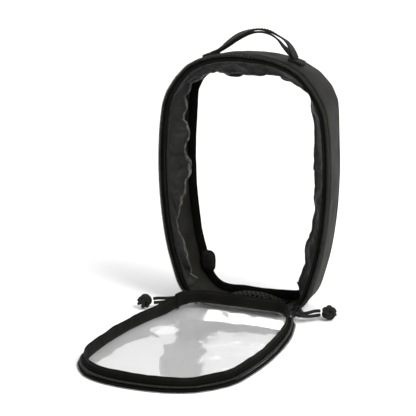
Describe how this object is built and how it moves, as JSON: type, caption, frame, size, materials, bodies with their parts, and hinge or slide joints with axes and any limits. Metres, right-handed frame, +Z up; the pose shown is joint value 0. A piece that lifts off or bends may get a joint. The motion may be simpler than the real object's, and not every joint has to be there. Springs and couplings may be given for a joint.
{
  "type": "windowed tank bag",
  "caption": "Small upright soft bag with a clear zip-open lid, clear rear window, mesh base, webbing handle and corded zip pulls.",
  "frame": {"origin": "centre of the bag's flat base, at mid width and mid depth, on the ground", "axes": "+X to the bag's right as seen from its zipped front, -Y out of the front opening and along the open lid, +Z up"},
  "size_m": [0.1817, 0.2833, 0.2592],
  "materials": {
    "shell": "matte coarse woven nylon",
    "binding": "matte ribbed tape",
    "facing": "thin coated nylon, slightly shiny",
    "hem": "thin translucent grey edge binding",
    "zip_tape": "matte woven tape",
    "zip_coil": "satin nylon coil",
    "vinyl": "clear flexible film, glossy",
    "mesh": "open hexagonal mesh",
    "webbing": "woven webbing with a soft sheen",
    "cord": "braided cord",
    "slider": "black lacquered metal",
    "magnet": "nickel plated"
  },
  "bodies": {
    "bag": {"side_gusset": "shell", "floor_mesh": "mesh", "front_piping": "binding", "body_zip_tape": "zip_tape", "body_zip_coil": "zip_coil", "facing_band": "facing", "facing_hem": "hem", "rear_border": "shell", "rear_window": "vinyl", "rear_binding": "binding", "magnet_pocket_1": "shell", "magnet_pocket_2": "shell", "magnet_pocket_3": "shell", "magnet_pocket_4": "shell", "magnet_1": "magnet", "magnet_2": "magnet", "magnet_3": "magnet", "magnet_4": "magnet", "hinge_strip": "binding", "zip_stop_left": "zip_coil", "zip_stop_right": "zip_coil", "handle_tab_left": "webbing", "handle_tab_right": "webbing"},
    "lid": {"lid_rim_band": "binding", "lid_window": "vinyl", "lid_edge_piping": "binding", "lid_zip_tape": "zip_tape", "lid_zip_coil": "zip_coil"},
    "handle": {"grab_handle": "webbing"},
    "zip_slider_left": {"slider_left": "slider"},
    "zip_slider_right": {"slider_right": "slider"},
    "zip_pull_left": {"puller_left": "slider", "pull_cord_left": "cord", "pull_knot_left": "cord"},
    "zip_pull_right": {"puller_right": "slider", "pull_cord_right": "cord", "pull_knot_right": "cord"}
  },
  "joints": [
    {"name": "lid_hinge", "type": "hinge", "parent": "bag", "child": "lid", "pos_m": [0, -0.028, 0.003], "axis": [1, 0, 0], "range_deg": [-90, 60]},
    {"name": "handle_flop", "type": "hinge", "parent": "bag", "child": "handle", "pos_m": [0, 0, 0.2367], "axis": [1, 0, 0], "range_deg": [-34, 34], "stiffness_Nm_per_rad": 0.02},
    {"name": "slider_left_travel", "type": "hinge", "parent": "bag", "child": "zip_slider_left", "pos_m": [-0.035, -0.0274, 0.033], "axis": [0, 1, 0], "range_deg": [0, 40]},
    {"name": "slider_right_travel", "type": "hinge", "parent": "bag", "child": "zip_slider_right", "pos_m": [0.035, -0.0274, 0.033], "axis": [0, -1, 0], "range_deg": [0, 40]},
    {"name": "pull_left_swing", "type": "hinge", "parent": "zip_slider_left", "child": "zip_pull_left", "pos_m": [-0.0546, -0.0319, 0.0079], "axis": [0, 0, 1], "range_deg": [-12, 12]},
    {"name": "pull_right_swing", "type": "hinge", "parent": "zip_slider_right", "child": "zip_pull_right", "pos_m": [0.0546, -0.0319, 0.0079], "axis": [0, 0, 1], "range_deg": [-25, 8]}
  ]
}
